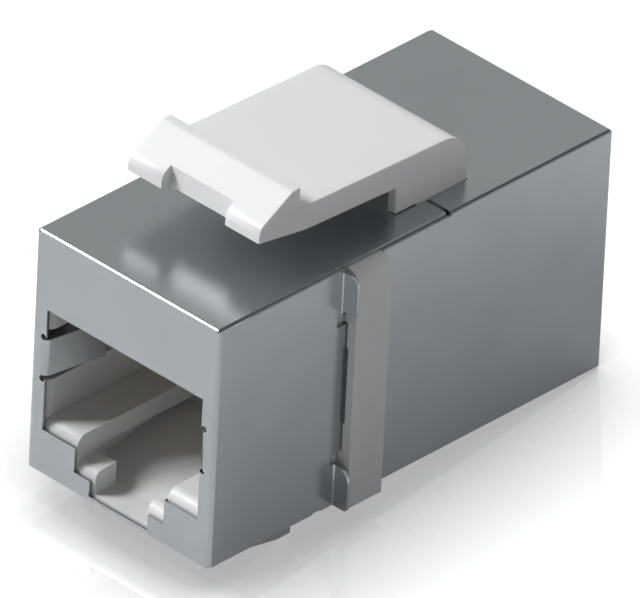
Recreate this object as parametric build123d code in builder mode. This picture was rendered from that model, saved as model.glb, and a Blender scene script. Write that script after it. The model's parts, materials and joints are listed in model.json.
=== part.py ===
from build123d import *
import os
from math import radians, tan

# Shielded in-line keystone coupler: two modular jack ports back to back in a folded metal screen.
# Frame: millimetres. X across, +Y from the front port to the rear port, +Z up towards the snap latch.
# The origin lies under the middle of the coupler, level with the lowest edge of its catch lug.

os.makedirs("parts", exist_ok=True)

# Folded sheet-metal screen
width = 14.6
height = 16.2
length = 32.0
sheet = 0.2
fold = 0.25
seam_gap = 0.03
seam_drop = 0.15

# Port cut-out in each screen face: a wide opening over two narrower steps
port_width = 12.46
port_sill = 3.04
port_drop = 5.07
step_width = 7.2
step_sill = 1.4
slot_width = 4.72
slot_sill = 0.37
relief_hole = 0.2

# Ground tongues folded into the port from its two upright edges
tongue_drop = 1.93
tongue_height = 2.8
tongue_reach = 4.2
tongue_slope = 0.17

# Free ends of the flaps, as depths behind the front face
top_flap = 18.5
bottom_flap = 8.4
flap_break = 0.25

# Ears bent out of the side flaps: they stop against the back of the panel
ear_face = 10.0
ear_reach = 1.15
lower_ear = 2.75
upper_ear = 2.75
ear_inset = 0.35
ear_bend = 0.1
ear_corners = (0.3, 1.0, 0.5, 0.7)
relief_height = 0.85
relief_face = 9.66

# Moulded collar with the bridge that carries the latch
collar_face = 10.46
collar_band = 2.78
collar_width = 16.1
collar_corner = 0.8
collar_floor = 0.95
collar_floor_face = 8.45
tuck = 0.4
tuck_gap = 0.07
window_height = 5.1
window_gap = 0.2
bridge_end = 22.6
bridge_depth = 1.6
bridge_width = 13.0
slip = 0.05

# Snap latch, drawn from its side: depths behind the face and heights over the screen's top
latch_width = 10.52
latch_draft = 1.75
nose_depth = 5.04
nose_rise = 2.72
nose_round = 0.8
bevel_depth = 7.7
crest_depth = 8.33
crest_rise = 5.09
crest_round = 0.5
catch_depth = 8.2
arm_rise = 3.73
arm_slope = 1.9
arm_under = 2.11
arm_under_back = 1.77
wedge_depth = 8.79
foot_face = 16.12
foot_gap = 0.07
foot_back = 21.92
foot_round = 1.9
root_face = 17.8
root_gap = 0.1
core_wall = 0.62
core_depth = 1.5
thumb_notch = 5.1
thumb_notch_depth = 5.78
latch_edge = 0.08

# Pivot barrel under the latch foot, in a groove of the bridge that the screen covers
pivot_depth = 16.2
barrel_radius = 0.55
barrel_slip = 0.05
barrel_width = 10.0
neck_thick = 0.5
groove_gap = 0.1
notch_gap = 0.06
notch_lead = 0.25

# Fixed catch lug under the front jack body
lug_width = 12.0
lug_drop = 1.5
lug_front = 3.4
lug_front_drop = 0.85
lug_flat = 6.9
lug_back = 8.0
lug_gap = 0.1

# Moulded jack body and its port
cavity_width = 12.5
cavity_depth = 12.3
shelf_top = 3.65
shelf_under = 2.4
shelf_round = 0.7
cavity_drop = 5.05
channel_width = 7.24
channel_depth = 10.2
block_top = 2.0
block_depth = 1.95
block_round = 0.6
slot_clear = 4.2
slot_floor = 0.5
floor_flat = 2.1
floor_ramp = 6.2
floor_rise = 1.1
undercut_width = 9.2
tongue_room = 0.3

# Contact wires, their carrier and the comb in the port ceiling
contacts = 8
pitch = 1.02
wire_width = 0.4
wire_height = 0.3
wire_front = 2.9
wire_drop = 1.6
wire_bend = 0.6
tip_depth = 9.6
tip_drop = 2.65
tail_step = 0.55
tail_bend = 0.15
carrier_face = 5.0
bend_room = 1.6
carrier_wall = 0.6
comb_width = 0.62
comb_front = 2.3
comb_back = 10.0
ceiling_wall = 0.7
pocket_wall = 0.8

# Circuit board between the two jack bodies
board_sheet = 1.6
board_edge = 0.8
board_foot = 1.3
tail_hole = 0.28
tail_out = 0.3

# Values worked out from the sizes above
half_sheet = sheet / 2
inner_half = width / 2 - sheet
body_half = inner_half - slip
body_face = sheet + slip
body_low = sheet + slip
body_high = height - sheet - slip
body_back = length / 2 - board_sheet / 2 - slip
port_head = height - port_drop
tongue_high = port_head - tongue_drop
tongue_low = tongue_high - tongue_height
cavity_head = height - cavity_drop
collar_back = collar_face + collar_band
side_flap = collar_face + tuck
ear_top = seam_drop + lower_ear
ear_foot = height - ear_inset - upper_ear
bridge_under = body_high - bridge_depth
step_high = bridge_under - slip
step_low = collar_floor + slip
pocket_low = cavity_head + ceiling_wall
pocket_high = step_high - pocket_wall
wire_line = (pocket_low + pocket_high) / 2
tip_height = cavity_head - tip_drop
carrier_back = body_back - slip - bend_room
pocket_width = (contacts - 1) * pitch + wire_width + 2 * (carrier_wall + slip)
pivot_height = body_high - barrel_radius - barrel_slip - 0.05
lip_height = height + foot_gap
foot_half = latch_width / 2 + arm_rise * tan(radians(latch_draft))
front_y = -length / 2
base_z = lug_drop

# Local planes: side views read (depth, height), front views (x, height), plan views (x, depth)
side_plane = Plane(origin=(0, front_y, base_z), x_dir=(0, 1, 0), z_dir=(1, 0, 0))
front_plane = Plane(origin=(0, front_y, base_z), x_dir=(1, 0, 0), z_dir=(0, -1, 0))
plan_plane = Plane(origin=(0, front_y, base_z), x_dir=(1, 0, 0), z_dir=(0, 0, 1))


def rectangle(low, high, mode=Mode.ADD):
    """Draw a rectangle from its low corner to its high corner."""
    with Locations(((low[0] + high[0]) / 2, (low[1] + high[1]) / 2)):
        Rectangle(high[0] - low[0], high[1] - low[1], mode=mode)


def folded_screen(top_end, side_end, bottom_end):
    """One folded sheet: a face with the port cut-out and four flaps bent back to their free ends."""
    reach = max(top_end, side_end, bottom_end)
    with BuildPart() as screen:
        with BuildSketch(front_plane):
            rectangle((-width / 2, 0), (width / 2, height))
        extrude(amount=-reach)
        fillet(screen.faces().sort_by(Axis.Y)[0].edges(), fold)
        with BuildSketch(front_plane.offset(-sheet)):
            rectangle((-inner_half, sheet), (inner_half, height - sheet))
        extrude(amount=-reach, mode=Mode.SUBTRACT)
        # Seams: each side flap is proud of the top and bottom flaps' edges and stops a step short
        for hand in (-1, 1):
            for edge, inward in ((height, -1), (0, 1)):
                slit_x = (hand * (inner_half - seam_gap), hand * inner_half)
                slit_z = (edge, edge + inward * (sheet + seam_gap))
                step_x = (hand * inner_half, hand * (width / 2 + 1))
                step_z = (edge - inward, edge + inward * seam_drop)
                with BuildSketch(front_plane.offset(1)):
                    rectangle((min(slit_x), min(slit_z)), (max(slit_x), max(slit_z)))
                    rectangle((min(step_x), min(step_z)), (max(step_x), max(step_z)))
                extrude(amount=-reach - 2, mode=Mode.SUBTRACT)
        # Free ends of the flaps
        for end, low, high in (
            (top_end, (-width / 2 - 1, height - sheet - seam_gap), (width / 2 + 1, height + 1)),
            (bottom_end, (-width / 2 - 1, -1), (width / 2 + 1, sheet + seam_gap)),
            (side_end, (-width / 2 - 1, sheet), (width / 2 + 1, height - sheet)),
        ):
            if end < reach:
                with BuildSketch(front_plane.offset(-end)):
                    rectangle(low, high)
                extrude(amount=end - reach - 1, mode=Mode.SUBTRACT)
        # The side flaps also end behind their own seam steps
        if side_end < reach:
            for hand in (-1, 1):
                edge_x = (hand * (inner_half - seam_gap), hand * (width / 2 + 1))
                with BuildSketch(front_plane.offset(-side_end)):
                    rectangle((min(edge_x), -1), (max(edge_x), height + 1))
                extrude(amount=side_end - reach - 1, mode=Mode.SUBTRACT)
        # Port cut-out, with round relief holes where the tongues fold in
        with BuildSketch(front_plane.offset(1)):
            rectangle((-port_width / 2, port_sill), (port_width / 2, port_head))
            rectangle((-step_width / 2, step_sill), (step_width / 2, port_sill))
            rectangle((-slot_width / 2, slot_sill), (slot_width / 2, step_sill))
            for hand in (-1, 1):
                fold_x = (hand * port_width / 2, hand * (port_width / 2 + fold))
                rectangle((min(fold_x), tongue_low), (max(fold_x), tongue_high))
                with Locations(
                    (hand * (port_width / 2 + relief_hole), tongue_low),
                    (hand * (port_width / 2 + relief_hole), tongue_high),
                ):
                    Circle(relief_hole)
        extrude(amount=-sheet - fold - 1.2, mode=Mode.SUBTRACT)
        # Ground tongues
        for hand in (-1, 1):
            fold_corner = port_width / 2 + 0.05
            tip_x = fold_corner - tongue_slope * (tongue_reach - half_sheet)
            with BuildSketch(plan_plane.offset(tongue_low + relief_hole)):
                with BuildLine():
                    FilletPolyline(
                        (hand * (port_width / 2 + fold + 0.1), half_sheet),
                        (hand * fold_corner, half_sheet),
                        (hand * tip_x, tongue_reach),
                        radius=0.3,
                    )
                trace(line_width=sheet)
            extrude(amount=tongue_high - tongue_low - 2 * relief_hole)
    return screen.part


def jack_body(top_step, bottom_step):
    """A moulded jack body with its port at the front; it steps in behind the two given depths."""
    with BuildPart() as jack:
        with BuildSketch(side_plane):
            with BuildLine():
                Polyline(
                    (body_face, body_low),
                    (bottom_step, body_low),
                    (bottom_step, step_low),
                    (body_back, step_low),
                    (body_back, step_high),
                    (top_step, step_high),
                    (top_step, body_high),
                    (body_face, body_high),
                    close=True,
                )
            make_face()
        extrude(amount=body_half, both=True)
        # Port for the plug, over the channel for its tab
        with BuildSketch(front_plane):
            rectangle((-cavity_width / 2, shelf_top), (cavity_width / 2, cavity_head))
        extrude(amount=-cavity_depth, mode=Mode.SUBTRACT)
        with BuildSketch(front_plane):
            rectangle((-channel_width / 2, block_top), (channel_width / 2, shelf_top))
        extrude(amount=-channel_depth, mode=Mode.SUBTRACT)
        # Rounded lead-in on the shelf and on the port's side walls
        mouth = jack.edges().group_by(Axis.Y)[0]
        shelf_z = base_z + shelf_top
        lead_in = mouth.filter_by(Axis.X).filter_by_position(Axis.Z, shelf_z - 0.01, shelf_z + 0.01)
        for wall_x in (-cavity_width / 2, cavity_width / 2):
            lead_in += mouth.filter_by(Axis.Z).filter_by_position(Axis.X, wall_x - 0.01, wall_x + 0.01)
        fillet(lead_in, shelf_round)
        for half, start, roof in (
            (slot_clear / 2, 0, shelf_top),
            (channel_width / 2, block_depth, shelf_top),
            (undercut_width / 2, block_depth, shelf_under),
        ):
            with BuildSketch(side_plane):
                with BuildLine():
                    Polyline(
                        (start, slot_floor),
                        (floor_flat, slot_floor),
                        (floor_flat + floor_ramp, slot_floor + floor_rise),
                        (channel_depth, slot_floor + floor_rise),
                        (channel_depth, roof),
                        (start, roof),
                        close=True,
                    )
                make_face()
            extrude(amount=half, both=True, mode=Mode.SUBTRACT)
        # Windows through the side walls, open at the front, where the ground tongues fold in
        for hand in (-1, 1):
            window_x = (hand * (cavity_width / 2 - 0.1), hand * (body_half + 0.1))
            with BuildSketch(front_plane):
                rectangle(
                    (min(window_x), tongue_low - tongue_room),
                    (max(window_x), tongue_high + tongue_room),
                )
            extrude(amount=-tongue_reach - 1.5, mode=Mode.SUBTRACT)
        # Pocket for the contact carrier, open to the back
        with BuildSketch(front_plane.offset(-comb_front)):
            rectangle((-pocket_width / 2, pocket_low), (pocket_width / 2, pocket_high))
        extrude(amount=comb_front - body_back, mode=Mode.SUBTRACT)
        # Comb of slots in the port's ceiling, one for each contact wire
        with BuildSketch(plan_plane.offset(cavity_head - 0.1)):
            with Locations((0, (comb_front + comb_back) / 2)):
                with GridLocations(pitch, 1, contacts, 1):
                    Rectangle(comb_width, comb_back - comb_front)
        extrude(amount=ceiling_wall + 0.2, mode=Mode.SUBTRACT)
        # Rounded lead-in on the two catch blocks
        front_edges = jack.edges().filter_by(Axis.X).group_by(Axis.Y)[0]
        block_z = base_z + block_top
        fillet(front_edges.filter_by_position(Axis.Z, block_z - 0.01, block_z + 0.01), block_round)
    return jack.part


def contact_carrier():
    """A moulded bar that holds the contact wires in grooves; its place is in the front jack body."""
    with BuildPart() as carrier:
        with BuildSketch(front_plane.offset(-carrier_face)):
            rectangle(
                (-pocket_width / 2 + slip, pocket_low + slip),
                (pocket_width / 2 - slip, pocket_high - slip),
            )
        extrude(amount=carrier_face - carrier_back)
        groove_low = wire_line - wire_height / 2
        with BuildSketch(front_plane.offset(-carrier_face)):
            with Locations((0, (groove_low + pocket_high) / 2)):
                with GridLocations(pitch, 1, contacts, 1):
                    Rectangle(wire_width + 2 * slip, pocket_high - groove_low)
        extrude(amount=carrier_face - carrier_back, mode=Mode.SUBTRACT)
    return carrier.part


def contact_wire(x, tail_height):
    """A sprung contact wire at x: tail in the board, over the ceiling, round and back into the port."""
    with BuildPart() as wire:
        with BuildSketch(side_plane.offset(x - wire_width / 2)):
            with BuildLine():
                FilletPolyline(
                    (length / 2 + board_sheet / 2 + tail_out, tail_height),
                    (body_back - slip - tail_step, tail_height),
                    (body_back - slip - 2 * tail_step, wire_line),
                    (wire_front, wire_line),
                    (wire_front, wire_line - wire_drop),
                    (tip_depth, tip_height),
                    radius=[tail_bend, tail_bend, wire_bend, wire_bend],
                )
            trace(line_width=wire_height)
        extrude(amount=wire_width)
    return wire.part


# Front half of the screen
with BuildPart() as front_shell:
    add(folded_screen(top_flap, side_flap, bottom_flap))
    # Notch for the latch root
    with BuildSketch(plan_plane.offset(height - sheet - 0.5)):
        rectangle((-foot_half - notch_gap, root_face - notch_lead), (foot_half + notch_gap, top_flap + 1))
    extrude(amount=sheet + 1, mode=Mode.SUBTRACT)
    # Notch for the catch lug
    with BuildSketch(plan_plane.offset(-0.5)):
        rectangle(
            (-lug_width / 2 - lug_gap, lug_front - lug_gap),
            (lug_width / 2 + lug_gap, bottom_flap + 1),
        )
    extrude(amount=sheet + 0.6, mode=Mode.SUBTRACT)
    # Each side flap reaches into the collar between the ears, with a relief slot beside each ear
    for hand in (-1, 1):
        with BuildSketch(side_plane.offset(hand * (inner_half - seam_gap / 2))):
            rectangle((ear_face - ear_bend, -1), (side_flap + 1, ear_top))
            rectangle((relief_face, ear_top), (side_flap + 1, ear_top + relief_height))
            rectangle((relief_face, ear_foot - relief_height), (side_flap + 1, ear_foot))
            rectangle((ear_face - ear_bend, ear_foot), (side_flap + 1, height + 1))
        extrude(amount=hand * (sheet + 1), mode=Mode.SUBTRACT)
    # Ears, with their own four corner roundings from the bottom up
    for hand in (-1, 1):
        for low, tall in ((seam_drop, lower_ear), (ear_foot, upper_ear)):
            with BuildSketch(plan_plane.offset(low)):
                with BuildLine():
                    FilletPolyline(
                        (hand * (width / 2 - half_sheet), ear_face - 1),
                        (hand * (width / 2 - half_sheet), ear_face + half_sheet),
                        (hand * (width / 2 + ear_reach), ear_face + half_sheet),
                        radius=half_sheet + ear_bend,
                    )
                trace(line_width=sheet)
            extrude(amount=tall)
    for hand in (-1, 1):
        for place, corner in enumerate(ear_corners):
            tips = front_shell.edges().filter_by(Axis.Y).group_by(Axis.X)[-1 if hand > 0 else 0]
            fillet(tips.sort_by(Axis.Z)[place], corner)
front_shell.part.label = "front_shell"
export_step(front_shell.part, "parts/front_shell.step")

# Rear half of the screen: the same folded sheet turned round, with a notch for the latch foot
with BuildPart() as rear_shell:
    add(
        folded_screen(
            length - top_flap - flap_break,
            length - collar_back - slip,
            length - collar_back - slip,
        )
    )
    mirror(about=Plane.XZ, mode=Mode.REPLACE)
    with BuildSketch(plan_plane.offset(height - sheet - 0.5)):
        rectangle(
            (-foot_half - notch_gap, top_flap + flap_break - 1),
            (foot_half + notch_gap, foot_back + notch_gap),
        )
    extrude(amount=sheet + 1, mode=Mode.SUBTRACT)
rear_shell.part.label = "rear_shell"
export_step(rear_shell.part, "parts/rear_shell.step")

# Collar: a band round the jack bodies, a floor plate in front of it and a bridge behind its top
with BuildPart() as collar:
    with BuildSketch(front_plane.offset(-collar_face)) as band:
        rectangle((-collar_width / 2, 0), (collar_width / 2, body_high))
        fillet(band.vertices().group_by(Axis.Y)[-1], collar_corner)
        rectangle((-inner_half, collar_floor), (inner_half, bridge_under), Mode.SUBTRACT)
    extrude(amount=-collar_band)
    with BuildSketch(plan_plane):
        rectangle((-inner_half + slip, collar_floor_face), (inner_half - slip, collar_back))
    extrude(amount=collar_floor)
    with BuildSketch(plan_plane.offset(bridge_under)):
        rectangle((-bridge_width / 2, collar_face), (bridge_width / 2, bridge_end))
    extrude(amount=bridge_depth)
    # Pockets that take the side flaps' ends, wider at mid-height
    for hand in (-1, 1):
        for low, high, gap in (
            (ear_top + relief_height - tuck_gap, ear_foot - relief_height + tuck_gap, tuck_gap),
            ((height - window_height) / 2, (height + window_height) / 2, window_gap),
        ):
            pocket_x = (hand * (inner_half - 0.1), hand * (width / 2 + gap))
            with BuildSketch(front_plane.offset(-collar_face)):
                rectangle((min(pocket_x), low), (max(pocket_x), high))
            extrude(amount=-tuck - tuck_gap, mode=Mode.SUBTRACT)
    # Groove for the latch's barrel and for the neck behind it, open upwards
    with BuildSketch(side_plane):
        with Locations((pivot_depth, pivot_height)):
            Circle(barrel_radius + barrel_slip)
        rectangle(
            (pivot_depth - barrel_radius - barrel_slip, pivot_height),
            (pivot_depth + barrel_radius + barrel_slip, height),
        )
        rectangle(
            (pivot_depth, pivot_height - neck_thick / 2 - barrel_slip),
            (root_face + neck_thick + groove_gap, height),
        )
    extrude(amount=barrel_width / 2 + groove_gap, both=True, mode=Mode.SUBTRACT)
collar.part.label = "collar"
export_step(collar.part, "parts/collar.step")

# Snap latch: wedge nose with a catch, arm, foot, and the pivot barrel that stands for its bending root
arm_back_rise = arm_rise - (foot_back - catch_depth) * tan(radians(arm_slope))
crest_half = latch_width / 2 - (crest_rise - arm_rise) * tan(radians(latch_draft))
with BuildPart() as latch:
    with BuildSketch(side_plane):
        with BuildLine():
            FilletPolyline(
                (nose_depth, height + nose_rise),
                (nose_depth + 0.05, height + nose_rise + 0.9),
                (bevel_depth, height + crest_rise),
                (crest_depth, height + crest_rise),
                (catch_depth, height + arm_rise),
                (foot_back, height + arm_back_rise),
                (foot_back, body_high + root_gap),
                (root_face, body_high + root_gap),
                (root_face, lip_height),
                (foot_face, lip_height),
                (foot_face, height + arm_under_back),
                (wedge_depth, height + arm_under),
                close=True,
                radius=[0, nose_round, crest_round, 0, 0, foot_round, 0, 0, 0, 0, 0, 0],
            )
        make_face()
    extrude(amount=foot_half + 1, both=True)
    # Sides that lean in towards the top
    with BuildSketch(front_plane.offset(-nose_depth + 1)):
        with BuildLine():
            Polyline(
                (-2 * foot_half + crest_half, height - crest_rise),
                (2 * foot_half - crest_half, height - crest_rise),
                (crest_half, height + crest_rise),
                (-crest_half, height + crest_rise),
                close=True,
            )
        make_face()
    extrude(amount=nose_depth - foot_back - 2, mode=Mode.INTERSECT)
    for side in latch.faces().sort_by(Axis.X)[::len(latch.faces()) - 1]:
        fillet(side.edges(), latch_edge)
    # Thumb notch in the middle of the nose
    with BuildSketch(side_plane):
        rectangle((nose_depth - 1, height), (thumb_notch_depth, height + crest_rise + 1))
    extrude(amount=thumb_notch / 2, both=True, mode=Mode.SUBTRACT)
    # Core that leaves thin side walls in the front of the foot
    with BuildSketch(side_plane):
        rectangle((foot_face - 0.5, lip_height - 0.5), (foot_face + core_depth, height + arm_under_back))
    extrude(amount=foot_half - core_wall, both=True, mode=Mode.SUBTRACT)
    # Barrel, with the neck that joins it to the root
    with BuildSketch(side_plane):
        with Locations((pivot_depth, pivot_height)):
            Circle(barrel_radius)
        rectangle(
            (pivot_depth, pivot_height - neck_thick / 2),
            (root_face + neck_thick, pivot_height + neck_thick / 2),
        )
        rectangle((root_face, pivot_height), (root_face + neck_thick, height))
    extrude(amount=barrel_width / 2, both=True)
latch.part.label = "latch"
export_step(latch.part, "parts/latch.step")

# Front jack body with the fixed catch lug under it
with BuildPart() as front_housing:
    add(jack_body(collar_face - slip, collar_floor_face - slip))
    with BuildSketch(side_plane):
        with BuildLine():
            Polyline(
                (lug_front, body_low),
                (lug_front, -lug_front_drop),
                (lug_flat, -lug_drop),
                (lug_back, -lug_drop),
                (lug_back, body_low),
                close=True,
            )
        make_face()
    extrude(amount=lug_width / 2, both=True)
front_housing.part.label = "front_housing"
export_step(front_housing.part, "parts/front_housing.step")

# Rear jack body, turned round
with BuildPart() as rear_housing:
    add(jack_body(length - bridge_end - slip, body_back - 1))
    mirror(about=Plane.XZ, mode=Mode.REPLACE)
rear_housing.part.label = "rear_housing"
export_step(rear_housing.part, "parts/rear_housing.step")

# Contact carriers
with BuildPart() as front_contact_carrier:
    add(contact_carrier())
front_contact_carrier.part.label = "front_contact_carrier"
export_step(front_contact_carrier.part, "parts/front_contact_carrier.step")

with BuildPart() as rear_contact_carrier:
    add(contact_carrier())
    mirror(about=Plane.XZ, mode=Mode.REPLACE)
rear_contact_carrier.part.label = "rear_contact_carrier"
export_step(rear_contact_carrier.part, "parts/rear_contact_carrier.step")

# Circuit board, with one row of holes for each jack's wires
with BuildPart() as circuit_board:
    with BuildSketch(front_plane.offset(board_sheet / 2 - length / 2)):
        rectangle((-body_half + board_edge, board_foot), (body_half - board_edge, step_high))
        for row in (wire_line + tail_step, wire_line - tail_step):
            with Locations((0, row)):
                with GridLocations(pitch, 1, contacts, 1):
                    Circle(tail_hole, mode=Mode.SUBTRACT)
    extrude(amount=-board_sheet)
circuit_board.part.label = "circuit_board"
export_step(circuit_board.part, "parts/circuit_board.step")

# Contact wires: the front jack's tails take the upper row of holes, the rear jack's the lower row
for index in range(contacts):
    x = (index - (contacts - 1) / 2) * pitch
    with BuildPart() as front_contact:
        add(contact_wire(x, wire_line + tail_step))
    front_contact.part.label = f"front_contact_{index + 1}"
    export_step(front_contact.part, f"parts/front_contact_{index + 1}.step")
    with BuildPart() as rear_contact:
        add(contact_wire(x, wire_line - tail_step))
        mirror(about=Plane.XZ, mode=Mode.REPLACE)
    rear_contact.part.label = f"rear_contact_{index + 1}"
    export_step(rear_contact.part, f"parts/rear_contact_{index + 1}.step")
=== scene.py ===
# %% [markdown]
# # A shielded keystone coupler
#
# This lesson dresses a small network coupler: two modular jack ports, back to back, inside a
# folded metal screen, with a white snap latch on top. The shapes come from a CAD model that is
# loaded first, and everything here is in metres, in that model's own frame: X across the coupler,
# +Y from the front port to the rear port, +Z up towards the latch.

# %% Load the CAD model
import json
from math import atan2, degrees, radians

import bmesh
import bpy
from mathutils import Euler, Matrix, Vector


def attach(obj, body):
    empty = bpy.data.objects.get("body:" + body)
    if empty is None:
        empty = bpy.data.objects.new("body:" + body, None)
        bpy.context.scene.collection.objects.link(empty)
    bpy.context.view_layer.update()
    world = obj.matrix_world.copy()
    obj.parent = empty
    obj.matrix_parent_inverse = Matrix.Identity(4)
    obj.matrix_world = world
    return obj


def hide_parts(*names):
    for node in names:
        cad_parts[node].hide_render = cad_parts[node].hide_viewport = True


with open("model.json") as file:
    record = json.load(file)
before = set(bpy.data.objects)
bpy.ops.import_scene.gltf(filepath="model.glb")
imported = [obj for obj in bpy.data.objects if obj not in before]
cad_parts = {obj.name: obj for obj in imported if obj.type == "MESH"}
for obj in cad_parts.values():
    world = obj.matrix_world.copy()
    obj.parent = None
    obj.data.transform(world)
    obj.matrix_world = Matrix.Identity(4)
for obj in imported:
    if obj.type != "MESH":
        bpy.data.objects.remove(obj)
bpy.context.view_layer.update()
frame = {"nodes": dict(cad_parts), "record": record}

MM = 0.001
scene = bpy.context.scene

# %% [markdown]
# ## Camera
#
# Product pictures of small parts are often made from far away with a very long lens, so that
# parallel edges stay almost parallel. The camera is placed by angles round the coupler: so many
# degrees to the right of straight ahead, so many degrees up, and a slight tilt of the camera.

# %% Camera
CAMERA_AZIMUTH = 43.0
CAMERA_ELEVATION = 32.77
CAMERA_TILT = 2.89
CAMERA_DISTANCE = 1.522
CAMERA_AIM = Vector((0.052, -0.098, 9.568)) * MM
CAMERA_LENS = 1500.0
CLIP_START = 0.1

scene.view_settings.view_transform = "Standard"
camera_data = bpy.data.cameras.new("camera")
camera_data.lens = CAMERA_LENS
camera_data.clip_start = CLIP_START
camera = bpy.data.objects.new("camera", camera_data)
scene.collection.objects.link(camera)
turn = Euler((radians(90 - CAMERA_ELEVATION), 0, radians(CAMERA_AZIMUTH))).to_matrix()
turn = turn @ Matrix.Rotation(radians(CAMERA_TILT), 3, "Z")
stand = CAMERA_AIM + turn.col[2] * CAMERA_DISTANCE
camera.matrix_world = Matrix.LocRotScale(stand, turn.to_quaternion(), None)
scene.camera = camera
print("camera looks along", tuple(round(-v, 3) for v in turn.col[2]))

# %% [markdown]
# ## Colours and nodes
#
# Colours are written as sRGB hex values, the way a painter reads them off a chart, and one
# function turns them into the linear values that the renderer adds up. A second small function
# adds one shader node with its settings and its links, and a third mixes two colours. The last
# one starts a new material.


# %% Four helpers for materials
def linear(hex_colour):
    """An sRGB colour such as "c0c4c6" as a linear RGBA value, by the sRGB standard's curve."""
    parts = [int(hex_colour[i:i + 2], 16) / 255 for i in (0, 2, 4)]
    return [p / 12.92 if p <= 0.04045 else ((p + 0.055) / 1.055) ** 2.4 for p in parts] + [1.0]


def add(tree, kind, settings=None, **inputs):
    """Add one node; inputs are values, or (node, output) pairs that are linked.

    An input is named by its label, with _ for a space, or by its place in the list: i0, i1 and so on.
    """
    node = tree.nodes.new("ShaderNode" + kind)
    for name, value in (settings or {}).items():
        setattr(node, name, value)
    for name, value in inputs.items():
        key = int(name[1:]) if name[0] == "i" and name[1:].isdigit() else name.replace("_", " ")
        if isinstance(value, tuple) and isinstance(value[0], bpy.types.Node):
            tree.links.new(value[0].outputs[value[1]], node.inputs[key])
        else:
            node.inputs[key].default_value = value
    return node


def blend(tree, amount, first, second):
    """The output of a node that goes from the first sRGB colour to the second."""
    mix = add(tree, "Mix", {"data_type": "RGBA"}, i0=amount, i6=linear(first), i7=linear(second))
    return mix.outputs[2]


def new_material(name):
    """An empty material with its tree, its surface shader and its output joined up."""
    material = bpy.data.materials.new(name)
    material.use_nodes = True
    tree = material.node_tree
    tree.nodes.clear()
    surface = add(tree, "BsdfPrincipled")
    add(tree, "OutputMaterial", Surface=(surface, "BSDF"))
    return material, tree, surface


# %% [markdown]
# ## Table and studio
#
# The coupler isn't level when it lies on a table: it rests on the catch lug under its front and on
# the rear edge of its underside, nose up. The model keeps its own axes level, so here the table is
# tipped to touch those two places instead.
#
# The table is white acrylic under a clear polished coat. A glow brings its open area up to the white
# of the background, and an Ambient Occlusion node takes the glow away again under and beside the
# coupler: a painted shadow round its base, where its real shadow lies too. Only the camera and the
# polished metal see the glow; it doesn't light the coupler. The metal mirrors the painted shadow as
# painted shade, darker towards the bottom of the screen's side.
#
# The camera also sees a darker sheet and a glossier top than the metal mirrors. With the darker
# sheet, the lamp's light on the table counts for less and the painted shadow sets the shade, about
# equally deep on all sides. The glossier top shows the coupler's reflection, and the duller one keeps
# the lamp from showing a second time in the metal.

# %% Table
LUG_DROP = 1.5 * MM
LUG_BACK = -8.0 * MM
REAR_EDGE = 16.0 * MM
TABLE_REACH = 3.0
TABLE_GAP = 0.01 * MM

tip = atan2(LUG_DROP, REAR_EDGE - LUG_BACK)
table_mesh = bpy.data.meshes.new("table")
shape = bmesh.new()
bmesh.ops.create_grid(shape, x_segments=1, y_segments=1, size=TABLE_REACH)
bmesh.ops.rotate(shape, verts=shape.verts, cent=(0, 0, 0), matrix=Matrix.Rotation(tip, 3, "X"))
bmesh.ops.translate(shape, verts=shape.verts, vec=(0, LUG_BACK, -TABLE_GAP))
shape.to_mesh(table_mesh)
shape.free()
table = bpy.data.objects.new("table", table_mesh)
scene.collection.objects.link(table)

# Values named SEEN are for the camera, and those named MIRRORED are for the light that the metal
# mirrors. Each lift is the glow's strength where half the sky is hidden, and where all is open; the
# lower first value is a painted shadow near the coupler. The coat's IOR is above a real lacquer's
# 1.5, so that its reflection shows against the glow.
PAINTED_SHADOW_REACH = 12 * MM
# the camera's darker sheet lets the painted shadow, more than the lamp's real one, set the table's
# shade
SEEN_SHEET = "5f6060"
MIRRORED_SHEET = "b4b5b6"
SEEN_LIFT = (0.48, 1.22)
MIRRORED_LIFT = (0.14, 0.33)
SEEN_GLOSS = 1.0
MIRRORED_GLOSS = 0.15
ACRYLIC_IOR = 1.49
COAT_IOR = 2.0
HALF_OPEN = 0.5

acrylic, tree, surface = new_material("white_acrylic_table")
surface.inputs["Roughness"].default_value = 0.05
surface.inputs["IOR"].default_value = ACRYLIC_IOR
surface.inputs["Coat IOR"].default_value = COAT_IOR
surface.inputs["Coat Roughness"].default_value = 0.02
surface.inputs["Emission Color"].default_value = (1, 1, 1, 1)
path = add(tree, "LightPath")
colour = blend(tree, (path, "Is Camera Ray"), MIRRORED_SHEET, SEEN_SHEET)
tree.links.new(colour, surface.inputs["Base Color"])
tree.links.new(path.outputs["Is Camera Ray"], surface.inputs["Coat Weight"])
gloss = add(tree, "MapRange", Value=(path, "Is Camera Ray"), To_Min=MIRRORED_GLOSS, To_Max=SEEN_GLOSS)
tree.links.new(gloss.outputs["Result"], surface.inputs["Specular IOR Level"])
# painted shadow: the Ambient Occlusion value dims the glow under and beside the coupler
painted_contact_shadow = add(tree, "AmbientOcclusion", {"samples": 8}, Distance=PAINTED_SHADOW_REACH)
lifts = []
for ray, (low, high) in (("Is Camera Ray", SEEN_LIFT), ("Is Glossy Ray", MIRRORED_LIFT)):
    lift = add(tree, "MapRange", Value=(painted_contact_shadow, "AO"),
               From_Min=HALF_OPEN, From_Max=1.0, To_Min=low, To_Max=high)
    lifts.append(add(tree, "Math", {"operation": "MULTIPLY"}, i0=(path, ray), i1=(lift, "Result")))
lift = add(tree, "Math", {"operation": "ADD"}, i0=(lifts[0], "Value"), i1=(lifts[1], "Value"))
tree.links.new(lift.outputs["Value"], surface.inputs["Emission Strength"])
table_mesh.materials.append(acrylic)
print("table tipped by", round(degrees(tip), 2), "degrees")

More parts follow.
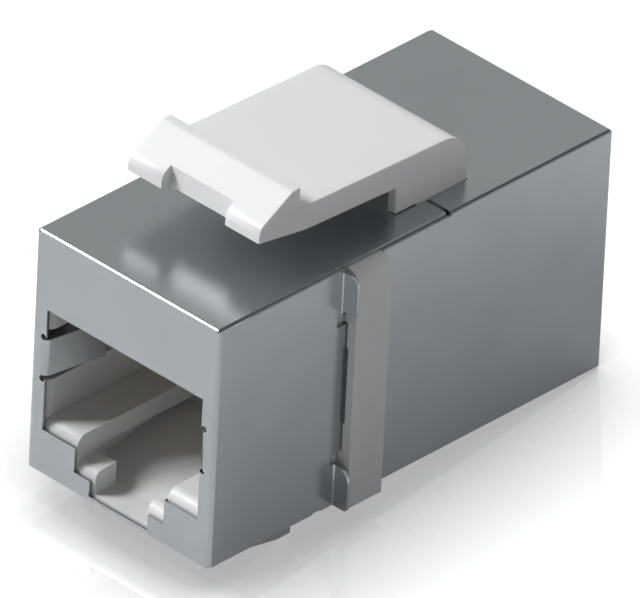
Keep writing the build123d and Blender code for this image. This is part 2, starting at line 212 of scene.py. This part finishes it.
# %% [markdown]
# The world is a plain pale studio. What the camera sees directly is white. What the metal and the
# table mirror is a studio too: white at the horizon, so that the table runs to white, and above it
# a grey ceiling, which gives the top of the screen its darker, graded look.
#
# The light that falls on the coupler from all round is soft. It is stronger from behind the coupler
# than from the camera's side, so that its ports stay deep and dark, and stronger low down than
# overhead, as if the pale room's floor threw light back up.

# %% World
FRONT_FILL = 0.10
BACK_FILL = 0.38
LOW_FILL = 1.3
HIGH_FILL = 0.7
MIRRORED_SKY = ((0.0, "ffffff"), (0.15, "c5c7c8"), (0.5, "b8bab9"))  # from the horizon (0) up (1)

world = bpy.data.worlds.new("studio")
scene.world = world
world.use_nodes = True
tree = world.node_tree
tree.nodes.clear()
path = add(tree, "LightPath")
place = add(tree, "TexCoord")
axes = add(tree, "SeparateXYZ", Vector=(place, "Generated"))
ceiling = add(tree, "ValToRGB", Fac=(axes, "Z"))
ceiling.color_ramp.elements.new(MIRRORED_SKY[1][0])
for stop, (position, colour) in zip(ceiling.color_ramp.elements, MIRRORED_SKY):
    stop.position = position
    stop.color = linear(colour)
depth = add(tree, "MapRange", Value=(axes, "Y"),
            From_Min=-0.9, From_Max=0.4, To_Min=FRONT_FILL, To_Max=BACK_FILL)
height = add(tree, "MapRange", Value=(axes, "Z"), To_Min=LOW_FILL, To_Max=HIGH_FILL)
glow = add(tree, "Math", {"operation": "MULTIPLY"}, i0=(depth, "Result"), i1=(height, "Result"))
fill = add(tree, "Background", Color=linear("fbfcfd"), Strength=(glow, "Value"))
mirror = add(tree, "Background", Color=(ceiling, "Color"), Strength=1.0)
white = add(tree, "Background", Color=linear("ffffff"), Strength=1.0)
glossy = add(tree, "MixShader", i0=(path, "Is Glossy Ray"),
             i1=(fill, "Background"), i2=(mirror, "Background"))
seen = add(tree, "MixShader", i0=(path, "Is Camera Ray"),
           i1=(glossy, "Shader"), i2=(white, "Background"))
add(tree, "OutputWorld", Surface=(seen, "Shader"))


# %% Key lamp
def area_lamp(name, azimuth, elevation, distance, size, power):
    """A square lamp aimed at the coupler; azimuth is to the right of straight ahead."""
    data = bpy.data.lights.new(name, "AREA")
    data.shape = "SQUARE"
    data.size = size
    data.energy = power
    lamp = bpy.data.objects.new(name, data)
    scene.collection.objects.link(lamp)
    aim = Euler((radians(90 - elevation), 0, radians(azimuth))).to_matrix()
    lamp.matrix_world = Matrix.LocRotScale(aim.col[2] * distance, aim.to_quaternion(), None)


area_lamp("key_lamp", azimuth=-52, elevation=40, distance=0.6, size=0.2, power=3.6)

# %% [markdown]
# ## Nickel-plated steel
#
# The screen is cold-rolled steel sheet, 0.2 mm thick, stamped, folded and nickel-plated. The nickel
# is a pale grey metal that mirrors softly, because the rolled surface under the thin plating
# isn't flat. The rolling grain runs along the coupler; it is really some hundredths of a
# millimetre wide and is drawn at about a tenth so that it just shows in close views.

# %% Nickel-plated steel
GRAIN_WIDTH = 0.12 * MM
GRAIN_LENGTH = 3.0 * MM
PATCH_SIZE = 4 * MM

nickel, tree, surface = new_material("nickel_plated_steel")
surface.inputs["Metallic"].default_value = 1.0
place = add(tree, "TexCoord")
grain_place = add(tree, "Mapping", Vector=(place, "Object"),
                  Scale=(1 / GRAIN_WIDTH, 1 / GRAIN_LENGTH, 1 / GRAIN_WIDTH))
grain = add(tree, "TexNoise", Vector=(grain_place, "Vector"), Scale=1.0, Detail=3.0)
patch = add(tree, "TexNoise", Vector=(place, "Object"), Scale=1 / PATCH_SIZE, Detail=2.0)
tone = add(tree, "MapRange", Value=(patch, "Fac"), From_Min=0.3, From_Max=0.7, To_Min=0.0, To_Max=1.0)
colour = blend(tree, (tone, "Result"), "b3b7ba", "b7bbbe")
tree.links.new(colour, surface.inputs["Base Color"])
rough = add(tree, "MapRange", Value=(grain, "Fac"),
            From_Min=0.2, From_Max=0.8, To_Min=0.22, To_Max=0.27)
tree.links.new(rough.outputs["Result"], surface.inputs["Roughness"])
bump = add(tree, "Bump", Height=(grain, "Fac"), Strength=0.05, Distance=0.002 * MM)
tree.links.new(bump.outputs["Normal"], surface.inputs["Normal"])

# %% [markdown]
# ## White moulded plastic
#
# The latch and collar are white polycarbonate, moulded in a steel tool with a fine spark-eroded
# skin: a soft gloss with a very fine grain in it. A little light enters the skin and comes out
# again nearby, which keeps thin walls and shaded sides from going grey. The two jack bodies are
# moulded from a grade of the same plastic that is stiffened with glass, and so a little greyer.

# %% White moulded plastics
SPARK_GRAIN = 0.08 * MM
FLOW_SIZE = 6 * MM
POLYCARBONATE_IOR = 1.58


def moulded_plastic(name, darker, paler, skin_depth):
    """A white moulding: fine grain, slightly uneven colour, light that enters so many mm deep."""
    material, tree, surface = new_material(name)
    surface.inputs["IOR"].default_value = POLYCARBONATE_IOR
    place = add(tree, "TexCoord")
    spark = add(tree, "TexNoise", Vector=(place, "Object"), Scale=1 / SPARK_GRAIN, Detail=2.0)
    flow = add(tree, "TexNoise", Vector=(place, "Object"), Scale=1 / FLOW_SIZE, Detail=1.0)
    colour = blend(tree, (flow, "Fac"), darker, paler)
    tree.links.new(colour, surface.inputs["Base Color"])
    surface.inputs["Subsurface Weight"].default_value = 0.25
    surface.inputs["Subsurface Radius"].default_value = (1.0, 0.95, 0.9)
    surface.inputs["Subsurface Scale"].default_value = skin_depth * MM
    rough = add(tree, "MapRange", Value=(spark, "Fac"),
                From_Min=0.3, From_Max=0.7, To_Min=0.34, To_Max=0.42)
    tree.links.new(rough.outputs["Result"], surface.inputs["Roughness"])
    bump = add(tree, "Bump", Height=(spark, "Fac"), Strength=0.08, Distance=0.01 * MM)
    tree.links.new(bump.outputs["Normal"], surface.inputs["Normal"])
    return material


white_plastic = moulded_plastic("white_moulded_polycarbonate", "e9eaea", "eeefef", 0.8)
jack_plastic = moulded_plastic("glass_filled_white_polycarbonate", "d7d8d8", "dddede", 0.4)

# %% [markdown]
# ## Inside pieces
#
# The contact carriers are dark glass-filled polyester, the board is woven glass laminate under
# green lacquer, and the contacts are bronze spring wire with a thin gold plating.

# %% Dark carrier plastic, board and gold
FIBRE_GRAIN = 0.15 * MM
WEAVE = 0.5 * MM
WAVE_PERIOD = 0.314  # a wave texture of scale 1 repeats after so many units
DRAWN_GRAIN = 0.1 * MM

carrier_plastic, tree, surface = new_material("glass_filled_polyester")
surface.inputs["IOR"].default_value = 1.57
place = add(tree, "TexCoord")
fibre = add(tree, "TexNoise", Vector=(place, "Object"), Scale=1 / FIBRE_GRAIN, Detail=4.0)
colour = blend(tree, (fibre, "Fac"), "26272a", "34363a")
tree.links.new(colour, surface.inputs["Base Color"])
rough = add(tree, "MapRange", Value=(fibre, "Fac"), To_Min=0.45, To_Max=0.6)
tree.links.new(rough.outputs["Result"], surface.inputs["Roughness"])

laminate, tree, surface = new_material("lacquered_glass_laminate")
surface.inputs["IOR"].default_value = 1.5
surface.inputs["Roughness"].default_value = 0.28
place = add(tree, "TexCoord")
weave_x, weave_z = [
    add(tree, "TexWave", {"bands_direction": axis}, Vector=(place, "Object"), Scale=WAVE_PERIOD / WEAVE)
    for axis in "XZ"
]
weave = add(tree, "Math", {"operation": "MULTIPLY"}, i0=(weave_x, "Fac"), i1=(weave_z, "Fac"))
colour = blend(tree, (weave, "Value"), "1d5a34", "2a6e42")
tree.links.new(colour, surface.inputs["Base Color"])

gold, tree, surface = new_material("gold_plated_bronze")
surface.inputs["Metallic"].default_value = 1.0
place = add(tree, "TexCoord")
drawn = add(tree, "TexNoise", Vector=(place, "Object"), Scale=1 / DRAWN_GRAIN, Detail=2.0)
colour = blend(tree, (drawn, "Fac"), "d9b25c", "e3c071")
tree.links.new(colour, surface.inputs["Base Color"])
rough = add(tree, "MapRange", Value=(drawn, "Fac"), To_Min=0.18, To_Max=0.26)
tree.links.new(rough.outputs["Result"], surface.inputs["Roughness"])

# %% The finish of each material slot
FINISH = {
    "screen_metal": nickel, "white_plastic": white_plastic, "jack_plastic": jack_plastic,
    "carrier_plastic": carrier_plastic, "board_laminate": laminate, "contact_metal": gold,
}

# %% [markdown]
# ## Softened edges
#
# A real edge is never perfectly sharp: a stamped sheet has a small roll-over, and a moulding has
# the radius of the cutter that made its tool. That thin line of light is what makes a small part
# look real. Each shape is taken from its CAD solid: its loose triangles are merged, its flat faces
# are joined up again, and a Bevel modifier rounds what is left by a few hundredths of a millimetre.

# %% Dress one CAD node with softened edges
MERGE_DISTANCE = 0.001 * MM
FLAT_ANGLE = radians(0.5)
SHARP_ANGLE = radians(32)


def soften(node, edge):
    """A copy of a CAD node with its edges rounded by so many millimetres."""
    source = frame["nodes"][node]
    mesh = source.data.copy()
    shape = bmesh.new()
    shape.from_mesh(mesh)
    bmesh.ops.remove_doubles(shape, verts=shape.verts, dist=MERGE_DISTANCE)
    bmesh.ops.dissolve_limit(
        shape, angle_limit=FLAT_ANGLE, verts=shape.verts, edges=shape.edges,
        use_dissolve_boundaries=False,
    )
    for face in shape.faces:
        face.smooth = True
    shape.to_mesh(mesh)
    shape.free()
    mesh.name = node + "_softened"
    piece = bpy.data.objects.new(node + "_softened", mesh)
    scene.collection.objects.link(piece)
    bevel = piece.modifiers.new("edge_radius", "BEVEL")
    bevel.width = edge * MM
    bevel.segments = 2
    bevel.limit_method = "ANGLE"
    bevel.angle_limit = SHARP_ANGLE
    bevel.use_clamp_overlap = True
    normals = piece.modifiers.new("even_faces", "WEIGHTED_NORMAL")
    normals.keep_sharp = True
    return piece


slots = {part["node"]: part["material_slot"] for part in frame["record"]["subparts"]}
bodies = frame["record"]["behaviour"]["bodies"]
body_of = {node: body for body, nodes in bodies.items() for node in nodes}
EDGE_RADIUS = {
    "front_shell": 0.03, "rear_shell": 0.03, "collar": 0.08, "latch": 0.05,
    "front_housing": 0.08, "rear_housing": 0.08,
}
for node, edge in EDGE_RADIUS.items():
    piece = soften(node, edge)
    piece.data.materials.clear()
    piece.data.materials.append(FINISH[slots[node]])
    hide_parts(node)
    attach(piece, body_of[node])
    print(piece.name, len(piece.data.polygons), "faces")

# %% [markdown]
# The inside pieces keep their CAD shapes and only get their finishes.

# %% Finishes on the remaining CAD nodes
for node, obj in frame["nodes"].items():
    if node not in EDGE_RADIUS:
        for index in range(len(obj.material_slots)):
            obj.material_slots[index].material = FINISH[slots[node]]
